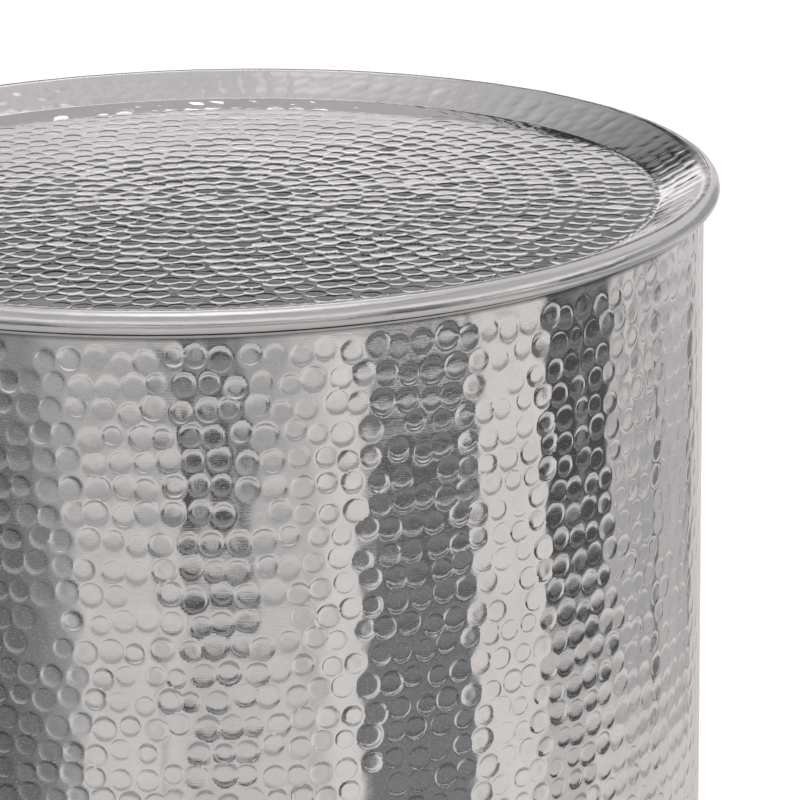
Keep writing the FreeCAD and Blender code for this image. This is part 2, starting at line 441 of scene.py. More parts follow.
def writeMesh(name, places, corners, totals, normals, crease, material, caps):
    # caps are loops of corner numbers that close the mesh with flat faces
    for loop in caps:
        flat = unit(np.cross(places[loop], places[np.roll(loop, -1)]).sum(axis=0))
        corners = np.concatenate([corners, loop])
        totals = np.concatenate([totals, [len(loop)]])
        normals = np.concatenate([normals, np.repeat(flat[None], len(loop), axis=0)])
    mesh = bpy.data.meshes.new(name)
    mesh.vertices.add(len(places))
    mesh.vertices.foreach_set("co", places.astype(np.float32).ravel())
    mesh.loops.add(len(corners))
    mesh.loops.foreach_set("vertex_index", corners.astype(np.int32))
    mesh.polygons.add(len(totals))
    mesh.polygons.foreach_set("loop_start", (np.cumsum(totals) - totals).astype(np.int32))
    mesh.polygons.foreach_set("use_smooth", np.ones(len(totals), bool))
    mesh.update(calc_edges=True)
    ends = np.empty(len(mesh.edges) * 2, np.int32)
    mesh.edges.foreach_get("vertices", ends)
    ends = ends.reshape(-1, 2)
    sharp = crease[ends[:, 0]] & crease[ends[:, 1]]
    for loop in caps:
        onCap = np.zeros(len(places), bool)
        onCap[loop] = True
        sharp |= onCap[ends[:, 0]] & onCap[ends[:, 1]]
    mesh.attributes.new("sharp_edge", "BOOLEAN", "EDGE").data.foreach_set("value", sharp)
    mesh.normals_split_custom_set(normals)
    mesh.materials.append(material)
    return newPiece(name, mesh)


def slopedNormals(mesh, corners, normals, along, up, outward):
    # the normals of the hammered faces follow the strikes' own slopes
    slope = np.empty(len(corners) * 3, np.float32)
    mesh.attributes["slope"].data.foreach_get("vector", slope)
    slope = slope.reshape(-1, 3)
    tilted = unit(outward - slope[:, :1] * along - slope[:, 1:2] * up)
    hammeredPart = readAttribute(mesh, "onSheet", bool)[corners]
    return np.where(hammeredPart[:, None], tilted, normals)


def panelsOf(mesh, stem, bands, material):
    # cuts a sheet that goes all the way round into closed upright panels
    places, corners, totals, normals = readMesh(mesh)
    column = readAttribute(mesh, "column", np.int32)
    crease = readAttribute(mesh, "crease", bool)
    outward = unit(places[corners] * (1, 1, 0))
    along = np.stack([-outward[:, 1], outward[:, 0], outward[:, 2]], axis=1)
    normals = slopedNormals(mesh, corners, normals, along, np.array((0, 0, 1)), outward)
    last = column.max()
    faceOfCorner = np.repeat(np.arange(len(totals)), totals)
    faceColumn = np.minimum.reduceat(column[corners], np.cumsum(totals) - totals)
    pieces = []
    for band in range(bands):
        low = last * band // bands
        high = last * (band + 1) // bands
        wanted = (faceColumn >= low) & (faceColumn < high)
        chosen = wanted[faceOfCorner]
        used, renamed = np.unique(corners[chosen], return_inverse=True)
        ownColumn = column[used]
        caps = [np.nonzero(ownColumn == low)[0], np.nonzero(ownColumn == high)[0][::-1]]
        name = stem + "_" + str(band + 1)
        pieces.append(writeMesh(name, places[used], renamed, totals[wanted],
                                normals[chosen], crease[used], material, caps))
    return pieces


def arcPlaces(centre, radius, start, turn, steps):
    # places along an arc, without its first one; angles in degrees
    angles = [math.radians(start + turn * (i + 1) / steps) for i in range(steps)]
    return [(centre[0] + radius * math.cos(a), centre[1] + radius * math.sin(a)) for a in angles]


def straightPlaces(start, end, steps):
    # places along a straight run, without its first one
    return [(start[0] + (end[0] - start[0]) * (i + 1) / steps,
             start[1] + (end[1] - start[1]) * (i + 1) / steps) for i in range(steps)]


# drum shell: one hammered sheet, curled over a wire at both edges
drum = {
    "outerRadius": 221.5 * mm,
    "sheet": 1.5 * mm,
    "wallFrom": 8.0 * mm,
    "wallTo": 487.0 * mm,
    "wire": 2.5 * mm,
    "curlTurn": 290,
    "curlSteps": 16,
    "wireSteps": 11,
    "columns": 1162,
    "wallRows": 400,
    "insideRows": 56,
    "panels": 7,
    "marksInRow": 136,
    "markRows": 43,
    "lowestRow": 16.8 * mm,
    "rowPitch": 11.0 * mm,
    "marksFrom": 12.0 * mm,
    "marksTo": 484.5 * mm,
    "undulation": 0.16 * mm,
    "undulationScale": 38.0,
    "jointWidth": 0.5 * mm,
    "jointDepth": 0.35 * mm,
}
drumMark = {
    "seed": 11,
    "radius": 4.6 * mm,
    "radiusSpread": 0.13,
    "steepness": 6.0,
    "depth": 0.072 * mm,
    "dish": 0.03 * mm,
    "shoulder": 0.035 * mm,
    "shoulderReach": 0.45 * mm,
    "strayAlong": 1.35 * mm,
    "strayAcross": 1.6 * mm,
    "rowWave": 1.1 * mm,
    "lightest": 0.8,
    "heaviest": 1.7,
    "lean": 0.55,
    "missing": 0.02,
}


def drumSection():
    # up the outside, round the mouth wire, down the inside and round the base wire
    r = drum["outerRadius"]
    low, high = drum["wallFrom"], drum["wallTo"]
    wire = drum["wire"]
    curl = wire + drum["sheet"]
    inner = r - drum["sheet"]
    turn = drum["curlTurn"]
    curlSteps, wireSteps = drum["curlSteps"], drum["wireSteps"]
    top = (r - curl, high)
    bottom = (r - curl, low)
    places = [(r, low)] + straightPlaces((r, low), (r, high), drum["wallRows"])
    places += arcPlaces(top, curl, 0, turn, curlSteps)
    places += arcPlaces(top, wire, turn, 0, 1)
    places += arcPlaces(top, wire, turn, -turn, wireSteps)
    places += straightPlaces((inner, high), (inner, low), drum["insideRows"])
    places += arcPlaces(bottom, wire, 0, -turn, wireSteps)
    places += arcPlaces(bottom, curl, -turn, 0, 1)
    places += arcPlaces(bottom, curl, -turn, turn, curlSteps)
    return places


def drumTree(inputs, material):
    tree, line, given = newTree("Drum sheet", inputs)
    strikes = strikeRows(tree, given, drumMark)
    rows = given["Rows"]
    radius = given["Radius"]
    low = given["Wall from"]
    high = given["Wall to"]
    column, row = rowAndColumn(tree, rows)
    r0, z0 = sectionPlace(tree, line, row)
    onWall = row < (given["Wall rows"] + 0.5)
    stepU = radius * fullTurn / given["Columns"]
    stepV = (high - low) / given["Wall rows"]
    u = column * stepU
    newU, newV, height, onCrease = hammered(tree, strikes, u, z0, stepU, stepV, drumMark)
    # the upright joint of the rolled sheet stays a straight line
    half = given["Columns"] * 0.5
    middle = size(column - half) < (half - 1.5)
    keep = onWall * middle * (z0 > (low + stepV * 2.0)) * (z0 < (high - stepV * 2.0))
    u = pick(keep, newU, u)
    v = pick(keep, newV, z0)
    joint = half * stepU

    def swell(atU, atV):
        # the soft waves that the hammer leaves in the whole sheet
        angle = atU / radius + math.pi / 2
        around = combine(tree, *onCircle(angle, radius), atV)
        fade = ramp(atV, low, low + 6 * mm) * ramp(atV, high, high - 5 * mm)
        return noiseAt(around, given["Undulation scale"], 1.5, 0.45) * given["Undulation"] * fade

    offJoint = (joint - size(u - joint)) / drum["jointWidth"]
    groove = (offJoint ** 2.0 * -1.0).math("EXPONENT") * drum["jointDepth"]
    height = height * (z0 > drum["marksFrom"]) * (z0 < drum["marksTo"])
    r = r0 + (height + swell(u, v) - groove) * onWall
    place = combine(tree, *onCircle(u / radius + math.pi / 2, r), v)
    grid = out(put(tree, "GeometryNodeMeshGrid", 1.0, 1.0, given["Columns"] + 1.0, rows))
    grid = store(tree, grid, "column", column, "INT")
    grid = store(tree, grid, "sheet", combine(tree, u, v, 0.0), "FLOAT_VECTOR")
    grid = store(tree, grid, "onSheet", onWall * middle > 0.5, "BOOLEAN")
    ends = out(put(tree, "FunctionNodeBooleanMath", row < 0.5, row > (rows - 1.5), operation="OR"))
    grid = store(tree, grid, "ends", ends, "BOOLEAN")
    grid = out(put(tree, "GeometryNodeSetPosition", grid, None, place))
    grid = creased(tree, grid, onCrease * keep > 0.5)
    # the last row closes on the first
    ends = stored(tree, "ends", "BOOLEAN")
    grid = out(put(tree, "GeometryNodeMergeByDistance", grid, ends, 1e-7))
    grid = storeSlopes(tree, grid, strikes, drumMark, swell)
    closeTree(tree, grid, material)
    return tree


def makeDrum(material):
    section = drumSection()
    inputs = {
        "Columns": drum["columns"], "Rows": len(section), "Wall rows": drum["wallRows"],
        "Radius": drum["outerRadius"], "Wall from": drum["wallFrom"], "Wall to": drum["wallTo"],
        "Marks in a row": drum["marksInRow"], "Mark rows": drum["markRows"],
        "Mark pitch": fullTurn * drum["outerRadius"] / drum["marksInRow"],
        "Lowest row": drum["lowestRow"], "Row pitch": drum["rowPitch"],
        "Undulation": drum["undulation"], "Undulation scale": drum["undulationScale"]}
    mesh = grown("drum_section", section, drumTree(inputs, material), inputs)
    for panel in panelsOf(mesh, "drum_panel", drum["panels"], material):
        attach(panel, "drum")
        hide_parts("drum_shell")
    print("drum sheet done:", len(mesh.vertices), "corners")


# tray: a hammered floor, a planished lip and a rim rolled round its rod
tray = {
    "floorTop": 489.05 * mm,
    "sheet": 1.2 * mm,
    "floorEdge": 200.2 * mm,
    "bendCentre": (201.42 * mm, 491.05 * mm),
    "bend": 2.0 * mm,
    "lipAngle": 27.7,
    "rimCentre": (223.4 * mm, 494.45 * mm),
    "rod": 4.0 * mm,
    "curlTurn": 300,
    "bendSteps": 4,
    "rodSteps": 12,
    "rimSteps": 29,
    "lipSteps": 15,
    "across": 300,
    "rings": 18,
    "ringPitch": 10.8 * mm,
    "undulation": 0.085 * mm,
    "undulationScale": 30.0,
    "sag": 0.16 * mm,
    "sagScale": 6.5,
    "lipMarksInRow": 124,
    "lipRows": 3,
    "lipLowestRow": 3.8 * mm,
    "lipRowPitch": 7.0 * mm,
    "grooveAngle": 84,
    "groove": 0.25 * mm,
    "kinks": 0.2 * mm,
    "kinkScale": 260.0,
    "rimWander": 0.024,
    "rimWanderScale": 22.0,
    "rimFlats": 0.045,
    "rimFlatsScale": 50.0,
    "digScale": 45.0,
}
trayMark = {
    "seed": 71,
    "radius": 4.9 * mm,
    "radiusSpread": 0.14,
    "steepness": 6.0,
    "depth": 0.115 * mm,
    "dish": 0.005 * mm,
    "shoulder": 0.03 * mm,
    "shoulderReach": 0.7 * mm,
    "stray": 1.6 * mm,
    "ringWobble": 0.9 * mm,
    "lightest": 0.65,
    "heaviest": 1.6,
    "lighterOutside": 0.5,
    "lighterFar": 0.78,
    "lighterNear": 0.35,
    "lean": 0.35,
}
lipMark = {
    "seed": 31,
    "radius": 5.2 * mm,
    "radiusSpread": 0.12,
    "steepness": 3.0,
    "depth": 0.2 * mm,
    "dish": 0.03 * mm,
    "shoulder": 0.01 * mm,
    "shoulderReach": 1.0 * mm,
    "strayAlong": 1.5 * mm,
    "strayAcross": 0.9 * mm,
    "rowWave": 0.3 * mm,
    "lightest": 0.45,
    "heaviest": 1.4,
    "lean": 0.4,
    "missing": 0.0,
    "slant": 0.3,
}


def ringStrikes(tree, given, mark):
    # one strike in the middle, then rings of 7, 14, 21 and so on
    index = out(tree.nodes.new("GeometryNodeInputIndex"))
    number = most(index - 1.0, 0.0)
    ring = (((root(number * (8.0 / 7.0) + 1.0) + 1.0) * 0.5) + 1e-4).math("FLOOR")
    ring = pick(index < 0.5, 0.0, ring)
    place = number - ring * (ring - 1.0) * 3.5

    def random(low, high, key, number):
        return chance(tree, low, high, key, mark["seed"] + number)

    angle = (place + random(0.0, 1.0, ring, 50)) * (fullTurn / most(ring * 7.0, 1.0))
    wobble = (angle * 2.0 + ring * 0.4).math("SINE") * mark["ringWobble"]
    u, v = onCircle(angle, ring * given["Ring pitch"] + wobble)
    stray = mark["stray"]
    u = u + random(-stray, stray, index, 1)
    v = v + random(-stray, stray, index, 2)
    radius = random(1 - mark["radiusSpread"], 1 + mark["radiusSpread"], index, 3) * mark["radius"]
    rings = given["Rings"]
    # the outer rings are struck more lightly, and so are the far and the near side
    force = random(mark["lightest"], mark["heaviest"], index, 4)
    force = force * (1.0 - ramp(ring, rings - 3.5, rings + 0.5) * mark["lighterOutside"])
    force = force * (1.0 - ramp(v * 0.95 - u * 0.3, 20 * mm, 120 * mm) * mark["lighterFar"])
    force = force * (1.0 - ramp(v, -110 * mm, -180 * mm) * mark["lighterNear"])
    lean = mark["lean"]
    blow = combine(tree, force, random(-lean, lean, index, 5), random(-lean, lean, index, 6))
    count = rings * (rings + 1.0) * 3.5 + 1.0
    return strikePoints(tree, count, strikePlace(tree, u, v, radius, mark), blow, place + ring)


def floorTree(inputs, material):
    tree, _, given = newTree("Tray floor", inputs)
    strikes = ringStrikes(tree, given, trayMark)
    across = given["Across"]
    edge = given["Edge"]
    column, row = rowAndColumn(tree, across)
    a = column / (across - 1.0) * 2.0 - 1.0
    b = row / (across - 1.0) * 2.0 - 1.0
    # squares round the middle become circles round it
    wide = size(a) > size(b)
    ratio = pick(wide, b, a) / pick(wide, a, b)
    reach = pick(wide, a, b) * edge
    angle = pick(wide, ratio * (math.pi / 4), math.pi / 2 - ratio * (math.pi / 4))
    u, v = onCircle(angle, reach)
    step = edge * 2.0 / across * 0.93
    newU, newV, height, onCrease = hammered(tree, strikes, u, v, step, step, trayMark)
    inside = size(reach) < (edge - step * 1.6)
    u = pick(inside, newU, u)
    v = pick(inside, newV, v)

    def swell(atU, atV):
        flat = combine(tree, atU, atV, 0.2)
        away = root(atU * atU + atV * atV)
        waves = noiseAt(flat, given["Undulation scale"], 1.5, 0.5) * given["Undulation"]
        sag = noiseAt(flat, given["Sag scale"], 1.0, 0.5) * given["Sag"]
        return waves * ramp(away, edge, edge - 20 * mm) + sag * ramp(away, edge, edge - 90 * mm)

    z = given["Top"] + (height + swell(u, v)) * inside
    grid = out(put(tree, "GeometryNodeMeshGrid", 1.0, 1.0, across, across))
    grid = store(tree, grid, "sheet", combine(tree, u, v, 0.0), "FLOAT_VECTOR")
    grid = store(tree, grid, "onSheet", inside > 0.5, "BOOLEAN")
    grid = out(put(tree, "GeometryNodeSetPosition", grid, None, combine(tree, u, v, z)))
    grid = creased(tree, grid, onCrease * inside > 0.5)
    grid = storeSlopes(tree, grid, strikes, trayMark, swell)
    closeTree(tree, grid, material)
    return tree


def makeTrayFloor(material):
    across = tray["across"]
    inputs = {
        "Across": across, "Edge": tray["floorEdge"], "Top": tray["floorTop"],
        "Rings": tray["rings"], "Ring pitch": tray["ringPitch"],
        "Undulation": tray["undulation"], "Undulation scale": tray["undulationScale"],
        "Sag": tray["sag"], "Sag scale": tray["sagScale"]}
    mesh = grown("floor_middle", [(0.0, tray["floorTop"])], floorTree(inputs, material), inputs)
    places, corners, totals, normals = readMesh(mesh)
    crease = readAttribute(mesh, "crease", bool)
    axes = np.eye(3)
    normals = slopedNormals(mesh, corners, normals, axes[0], axes[1], axes[2])
    # the border in order, counterclockwise from above
    number = np.arange(across * across).reshape(across, across)
    border = np.concatenate([number[:-1, 0], number[-1, :-1], number[:0:-1, -1], number[0, :0:-1]])
    count = len(border)
    under = places[border] - (0, 0, tray["sheet"])
    lower = len(places) + np.arange(count)
    after = np.roll(np.arange(count), -1)
    sides = np.stack([border, lower, lower[after], border[after]], axis=1)
    side = unit(under * (1, 1, 0))
    sideNormals = np.stack([side, side, side[after], side[after]], axis=1).reshape(-1, 3)
    normals[np.isin(corners, border)] = (0, 0, 1)
    crease[border] = True
    piece = writeMesh("tray_floor_sheet", np.concatenate([places, under]),
                      np.concatenate([corners, sides.ravel()]),
                      np.concatenate([totals, np.full(count, 4)]),
                      np.concatenate([normals, sideNormals]),
                      np.concatenate([crease, np.ones(count, bool)]), material, [lower[::-1]])
    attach(piece, "tray")
    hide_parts("tray_pan")
    print("tray floor done:", len(piece.data.polygons), "faces")


def traySection():
    # underside outwards, round the rod and back over the rim and the lip; the loop is closed
    slope = math.radians(tray["lipAngle"])
    rod = tray["rod"]
    rim = rod + tray["sheet"]
    centre = tray["rimCentre"]
    bend = tray["bend"]
    bendCentre = tray["bendCentre"]
    top = tray["floorTop"]
    edge = tray["floorEdge"]
    turn = tray["curlTurn"]
    begin = 90 + tray["lipAngle"]
    underEnd = (centre[0] - rod * math.sin(slope), centre[1] + rod * math.cos(slope))
    places = [(edge, top - tray["sheet"])]
    places += straightPlaces(places[-1], (bendCentre[0], places[-1][1]), 1)
    places += arcPlaces(bendCentre, bend + tray["sheet"], -90, tray["lipAngle"], tray["bendSteps"])
    places += straightPlaces(places[-1], underEnd, 5)
    places += arcPlaces(centre, rod, begin, -turn, tray["rodSteps"])
    places += arcPlaces(centre, rim, begin - turn, 0, 1)
    groove = tray["grooveAngle"]
    beside = 4  # degrees to each side of the groove
    toGroove = groove - beside - begin + turn
    places += arcPlaces(centre, rim, begin - turn, toGroove, tray["rimSteps"])
    places += arcPlaces(centre, rim, groove - beside, beside, 2)
    grooveRow = len(places) - 1
    places += arcPlaces(centre, rim, groove, beside, 2)
    places += arcPlaces(centre, rim, groove + beside, begin - groove - beside, 5)
    lipTop = places[-1]
    firstLip = len(places) - 1
    lipFoot = arcPlaces(bendCentre, bend, -90, tray["lipAngle"], 1)[0]
    places += straightPlaces(lipTop, lipFoot, tray["lipSteps"])
    lastLip = len(places) - 1
    places += arcPlaces(bendCentre, bend, -90 + tray["lipAngle"], -tray["lipAngle"],
                        tray["bendSteps"])
    places += straightPlaces(places[-1], (edge, top), 1)
    places += [places[0]]
    return places, grooveRow, firstLip, lastLip, math.dist(lipTop, lipFoot)


def rimTree(inputs, material):
    tree, line, given = newTree("Tray rim", inputs)
    strikes = strikeRows(tree, given, lipMark)
    rows = given["Rows"]
    columns = given["Columns"]
    column, row = rowAndColumn(tree, rows)
    r0, z0 = sectionPlace(tree, line, row)
    angle = column * fullTurn / columns + math.pi / 4
    # the lip is struck on its upper face, in rows that stand at a slant
    down = (row - given["First lip row"]) / (given["Last lip row"] - given["First lip row"])
    onLip = (down > -0.001) * (down < 1.001)
    v = (1.0 - down) * given["Lip width"]
    girth = given["Lip radius"] * fullTurn
    u = (column * girth / columns + v * lipMark["slant"]) % girth
    marks = marksHeight(nearestTwo(tree, strikes, u, v, lipMark), u, v, lipMark)
    fade = ramp(down, 0.02, 0.2) * ramp(down, 0.99, 0.85) * onLip
    # the crease between floor and lip is kinked by the hammer
    kinkPlace = combine(tree, *onCircle(angle, r0), z0)
    kinks = noiseAt(kinkPlace, tray["kinkScale"], 2.0, 0.6) * given["Kinks"]
    edge = tray["floorEdge"]
    kinks = kinks * ramp(r0, edge + 0.2 * mm, edge + 1.1 * mm)
    kinks = kinks * ramp(r0, edge + 4.6 * mm, edge + 2.4 * mm)
    kinks = kinks * (z0 > tray["floorTop"] - 0.35 * mm)
    lift = marks * fade + kinks
    slope = math.radians(tray["lipAngle"])
    r = r0 - lift * math.sin(slope)
    z = z0 + lift * math.cos(slope)
    # the rolled rim is a little uneven: its thickness and its height wander
    dr = r0 - given["Rim radius"]
    dz = z0 - given["Rim height"]
    reach = root(dr * dr + dz * dz)
    outer = ramp(dr, -4 * mm, 1 * mm)
    ringX, ringY = onCircle(angle, given["Rim radius"])

    def uneven(third, scale, detail, roughness):
        return noiseAt(combine(tree, ringX, ringY, third), scale, detail, roughness)

    wander = uneven(0.0, tray["rimWanderScale"], 2.0, 0.55) * tray["rimWander"]
    flats = uneven(z0 * 1.8, tray["rimFlatsScale"], 2.5, 0.6) * tray["rimFlats"]
    swell = (wander + flats - 0.025) * outer * (reach > 4.5 * mm)
    dig = uneven(7.0, tray["digScale"], 2.0, 0.6) * 0.35 + 0.7
    offGroove = (row - given["Groove row"]) / 0.8
    swell = swell - (offGroove * offGroove * -1.0).math("EXPONENT") * dig * given["Groove"] / reach
    place = combine(tree, *onCircle(angle, r + dr * swell), z + dz * swell)
    grid = out(put(tree, "GeometryNodeMeshGrid", 1.0, 1.0, columns + 1.0, rows))
    grid = out(put(tree, "GeometryNodeSetPosition", grid, None, place))
    grid = out(put(tree, "GeometryNodeMergeByDistance", grid, None, 1e-6))
    grid = out(put(tree, "GeometryNodeSetShadeSmooth", grid, None, True, domain="FACE"))
    closeTree(tree, grid, material)
    return tree


def makeTrayRim(material):
    section, grooveRow, firstLip, lastLip, width = traySection()
    lipRadius = tray["rimCentre"][0] - 12.5 * mm
    inputs = {
        "Columns": 4 * (tray["across"] - 1), "Rows": len(section),
        "First lip row": firstLip, "Last lip row": lastLip, "Lip width": width,
        "Lip radius": lipRadius, "Rim radius": tray["rimCentre"][0],
        "Rim height": tray["rimCentre"][1], "Mark rows": tray["lipRows"],
        "Marks in a row": tray["lipMarksInRow"],
        "Mark pitch": fullTurn * lipRadius / tray["lipMarksInRow"],
        "Lowest row": tray["lipLowestRow"], "Row pitch": tray["lipRowPitch"],
        "Groove row": grooveRow, "Groove": tray["groove"], "Kinks": tray["kinks"]}
    mesh = grown("rim_section", section, rimTree(inputs, material), inputs)
    mesh.shade_smooth()
    mesh.set_sharp_from_angle(angle=math.radians(50))
    piece = newPiece("tray_rim_sheet", mesh)
    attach(piece, "tray")
    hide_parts("tray_pan")
    print("tray rim done:", len(mesh.polygons), "faces")


# studio: the camera, the room that the metal mirrors, a soft lamp and the floor
studio = {
    "cameraPlace": (0.0, -1.61811, 0.89061),
    "yaw": 3.007,
    "pitch": 17.133,
    "roll": -0.91,
    "lens": 167.36,
    # the room's tones by height, behind and in front: from, to (degrees), tone
    "behind": ((-16, -8, 0.62), (6, 8, 1.06), (10, 11.3, 0.84), (11.6, 12.6, 0.66),
               (13.05, 13.4, 0.82), (13.7, 14.1, 0.17), (14.9, 15.6, 0.31), (16.8, 17.8, 0.04),
               (26, 32, 0.52), (44, 56, 0.6), (75, 83, 1.2)),
    "front": ((-5, 0, 0.82), (17, 21, 0.5), (50, 56, 0.4), (59, 66, 0.78), (70, 76, 1.3)),
    # upright bands low down, by bearing: from, to (degrees), tone
    "bands": ((-53, -50, 0.17), (-47, -44, 0.23), (-41, -37, 0.31), (-36, -30, 0.68),
              (-14.6, -14.2, 0.5), (-13.6, -13.2, 0.68), (-7.6, -7, 0.08),
              (-3.6, -3.3, 0.5), (-2.3, -2.0, 0.08), (3.4, 3.7, 0.44), (4.6, 4.9, 0.11),
              (8, 9, 0.52), (20, 27, 0.73), (35, 35.6, 0.115), (58.8, 60, 0.72), (80.5, 81.6, 0.07),
              (91, 91.4, 0.3), (92.2, 92.6, 0.08), (101, 102.5, 0.62), (106.2, 106.6, 0.22),
              (107.6, 108, 0.68), (112.4, 112.8, 0.24), (114, 114.4, 0.62), (117, 117.3, 0.3),
              (118, 118.3, 0.6), (121.6, 122.0, 0.07),
              (123.2, 123.6, 0.5), (145, 146, 0.22), (148, 149, 0.62)),
    # parts that are lighter or darker: bearings, the heights where they begin and end, tone
    "patches": ((-60, -36, -17.3, -16.2, -12, -8, 0.31), (-40, -8, -20.5, -15.6, -11.5, -8, 0.42),
                (-13, 7, -16.95, -16.3, -12, -8, 0.26), (-9.5, 9, -18.4, -21.2, -60, -61, 0.62),
                (8, 19, -18.8, -21.2, -60, -61, 0.64), (7, 17, -18.6, -17.6, -12, -8, 0.42),
                (36, 59, -15.3, -14.7, -10, -5, 0.17), (30, 36.5, -17.4, -16.5, -15.0, -14.5, 0.72),
                (37, 59, -17.3, -16.4, -15.5, -15.0, 0.64), (100, 155, -14.0, -12.0, 8, 14, 0.36),
                (78, 103, -15.3, -14.6, -4, 4, 0.16),
                (57, 61.8, -18.9, -18.3, -16.9, -16.4, 0.12), (32.5, 38, -17.4, -18.6, -60, -61, 0.2),
                (37, 60.5, -18.3, -21.3, -60, -61, 0.22), (79, 102, -19.1, -21.7, -60, -61, 0.57),
                (103, 121, -17.3, -18.0, -60, -61, 0.44), (96, 150, -21.4, -22.8, -60, -61, 0.68)),
    "bandTop": -15.2,
    "bandFoot": (-25.5, -29),
    "roomTone": 0.66,
    "toneBetweenBands": 0.13,
    "toneLeftBehind": 0.64,
    "paleTone": 1.1,
    "spotTone": 2.4,
    "mottled": 0.17,
    "clouded": 0.14,
    "lampPlace": (-1.3, -1.2, 1.9),
    "lampAim": (0, 0, 0.25),
    "lampPower": 12.0,
    "lampSize": 1.6,
    "floorReach": 6,
    "floorTone": 0.8,
    "floorGlow": 0.6,
}


def makeCamera():
    # turned to the right by yaw, down by pitch and round its own axis by roll
    yaw, pitch, roll = (math.radians(studio[k]) for k in ("yaw", "pitch", "roll"))
    ahead = Vector((math.sin(yaw) * math.cos(pitch), math.cos(yaw) * math.cos(pitch), -math.sin(pitch)))
    level = Vector((math.cos(yaw), -math.sin(yaw), 0))
    rise = level.cross(ahead)
    right = level * math.cos(roll) + rise * math.sin(roll)
    up = rise * math.cos(roll) - level * math.sin(roll)
    data = bpy.data.cameras.new("camera")
    data.sensor_width = 36
    data.lens = studio["lens"]
    data.clip_start = 0.05
    data.clip_end = 50
    camera = newPiece("camera", data)
    turn = Matrix((right, up, -ahead)).transposed().to_4x4()
    camera.matrix_world = Matrix.Translation(studio["cameraPlace"]) @ turn
    bpy.context.scene.camera = camera


def newGroup(name, given, results):
    # a group of shader nodes with named inputs and outputs
    group = bpy.data.node_groups.new(name, "ShaderNodeTree")
    for label, value in given.items():
        kind = "NodeSocketVector" if isinstance(value, tuple) else "NodeSocketFloat"
        socket = group.interface.new_socket(label, in_out="INPUT", socket_type=kind)
        socket.default_value = value
    for label in results:
        group.interface.new_socket(label, in_out="OUTPUT", socket_type="NodeSocketFloat")
    source = group.nodes.new("NodeGroupInput")
    end = group.nodes.new("NodeGroupOutput")
    return group, [Value(source.outputs[label]) for label in given], end


def makeBrushing():
    # fine lines that run along the sheet, as the heights of a bump, in metres
    group, given, end = newGroup("brushed lines", {
        "Along": 0.0, "Across": 0.0, "Turn": 0.0, "Line length": 15 * mm, "Line width": 0.4 * mm,
        "Depth": 0.001 * mm}, ("Height",))
    along, across, turn, length, width, depth = given
    place = combine(group, (along + across * turn) / length, (across - along * turn) / width, 0.0)
    strength = ramp(noiseAt(combine(group, along, across, 1.0), 45.0, 3.0, 0.65), -0.5, 0.5)
    lines = noiseAt(place, 1.0, 2.0, 0.7) * depth
    feed(end.inputs["Height"], lines * (strength * 0.85 + 0.15))
    return group


def makeWear():
    # small pits, and the tone and gloss that wander over old metal
    group, given, end = newGroup("pits and patina", {
        "Place": (0.0, 0.0, 0.0), "Pit spacing": 6 * mm, "Pit size": 0.3 * mm, "Patches": 25.0},
        ("Pits", "Patina", "Dull"))
    place, spacing, pitSize, patches = given
    cells = put(group, "ShaderNodeTexVoronoi", voronoi_dimensions="3D", feature="F1")
    feed(cells.inputs["Vector"], place)
    feed(cells.inputs["Scale"], 1.0 / spacing)
    chosen, howLarge, _ = parts(out(cells, "Color"))
    edge = pitSize / spacing * (howLarge + 0.4)
    pits = ramp(out(cells, "Distance"), edge, edge * 0.5) * ramp(chosen, 0.62, 0.66)
    feed(end.inputs["Pits"], pits)
    feed(end.inputs["Patina"], ramp(noiseAt(place, patches, 4.0, 0.6), -0.4, 0.6))
    feed(end.inputs["Dull"], ramp(noiseAt(place, 160.0, 3.0, 0.65), -0.2, 0.7))
    return group


brushing = makeBrushing()
wear = makeWear()


class Finish:
    # a new material with the places on it; what the makers below have in common
    def __init__(self, name):
        self.material = bpy.data.materials.new(name)
        self.material.use_nodes = True
        self.tree = self.material.node_tree
        self.shader = self.tree.nodes["Principled BSDF"]
        self.place = out(self.tree.nodes.new("ShaderNodeTexCoord"), "Object")
        self.x, self.y, self.z = parts(self.place)
        self.radius = root(self.x * self.x + self.y * self.y)
        self.angle = self.x.math("ARCTAN2", -self.y)

    def brushed(self, along, across, turn, length, width, depth):
        # lines of this length, width and depth, turned a little off the first direction
        return out(put(self.tree, "ShaderNodeGroup", along, across, turn, length, width, depth,
                       node_tree=brushing))

    def worn(self, spacing, pitSize, patches):
        node = put(self.tree, "ShaderNodeGroup", self.place, spacing, pitSize, patches,
                   node_tree=wear)
        return [Value(socket) for socket in node.outputs]

    def noise(self, scale, detail, roughness):
        return noiseAt(self.place, scale, detail, roughness)

    def grey(self, tone, warmth):
        # warmer or cooler than a plain grey
        return combine(self.tree, tone * (1.0 + warmth), tone, tone * (1.0 - warmth))

    def close(self, colour, metallic, roughness, heights):
        # the heights of the bump are in metres
        bump = put(self.tree, "ShaderNodeBump")
        for name, value in (("Strength", 1.0), ("Distance", 1.0), ("Height", heights)):
            feed(bump.inputs[name], value)
        for name, value in (("Base Color", colour), ("Metallic", metallic),
                            ("Roughness", roughness), ("Normal", out(bump))):
            feed(self.shader.inputs[name], value)
        return self.material


metal = {
    "tone": 0.8,
    "pitTone": 0.3,
    "warmth": 0.006,
    "gloss": 0.06,
    "dust": 0.34,
    "scratchRelief": 0.65,
    "pitDepth": 0.04 * mm,
}


